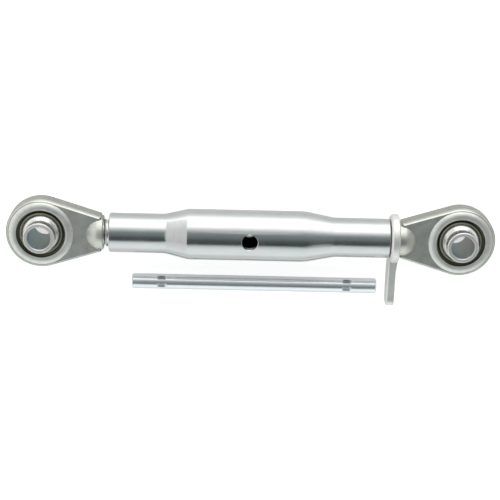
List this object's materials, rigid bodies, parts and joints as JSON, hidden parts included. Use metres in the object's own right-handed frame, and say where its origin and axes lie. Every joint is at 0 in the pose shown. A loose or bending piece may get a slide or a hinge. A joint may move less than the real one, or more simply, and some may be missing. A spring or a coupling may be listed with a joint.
{
  "type": "tractor top link",
  "caption": "Turnbuckle link with a swaged barrel, opposite-thread eye ends holding swivel balls, a lever lock nut and a loose tommy bar.",
  "frame": {"origin": "middle of the barrel, where the cross hole's axis meets the link's axis", "axes": "+X along the link towards the lever nut, +Z along the pin bores and the cross hole, -Y the way the lever points; the link lies flat, on the ends of its balls"},
  "size_m": [0.407, 0.0876, 0.044],
  "materials": {
    "barrel_zinc": "bright zinc plate on swaged tube",
    "forged_zinc": "zinc plate on a forged surface, a little dull",
    "ball_steel": "turned and plated, bright",
    "nut_zinc": "satin zinc plate",
    "bar_zinc": "bright zinc plate on round bar"
  },
  "bodies": {
    "right_eye_end": {"right_eye_end": "forged_zinc"},
    "lock_nut": {"lock_nut": "nut_zinc"},
    "barrel": {"barrel": "barrel_zinc"},
    "left_eye_end": {"left_eye_end": "forged_zinc"},
    "left_ball": {"left_ball": "ball_steel"},
    "right_ball": {"right_ball": "ball_steel"},
    "tommy_bar": {"tommy_bar": "bar_zinc"}
  },
  "joints": [
    {"name": "nut_travel", "type": "slide", "parent": "right_eye_end", "child": "lock_nut", "axis": [-1, 0, 0], "range_m": [0, 0.075]},
    {"name": "barrel_turn", "type": "hinge", "parent": "lock_nut", "child": "barrel", "pos_m": [0, 0, 0], "axis": [-1, 0, 0], "range_deg": [0, 9000]},
    {"name": "left_end_travel", "type": "slide", "parent": "lock_nut", "child": "left_eye_end", "axis": [-1, 0, 0], "range_m": [0, 0.075]},
    {"name": "left_ball_tilt", "type": "hinge", "parent": "left_eye_end", "child": "left_ball", "pos_m": [-0.17295, 0, 0], "axis": [0, 1, 0], "range_deg": [-18, 18]},
    {"name": "right_ball_tilt", "type": "hinge", "parent": "right_eye_end", "child": "right_ball", "pos_m": [0.17575, 0, 0], "axis": [0, 1, 0], "range_deg": [-18, 18]},
    {"name": "bar_lift", "type": "slide", "parent": "right_eye_end", "child": "tommy_bar", "axis": [0, 0, 1], "range_m": [0, 0.08]}
  ],
  "couplings": [
    {"joint": "nut_travel", "follows": "left_end_travel", "ratio": 1},
    {"joint": "barrel_turn", "follows": "left_end_travel", "rad_per_m": 2094.4}
  ]
}
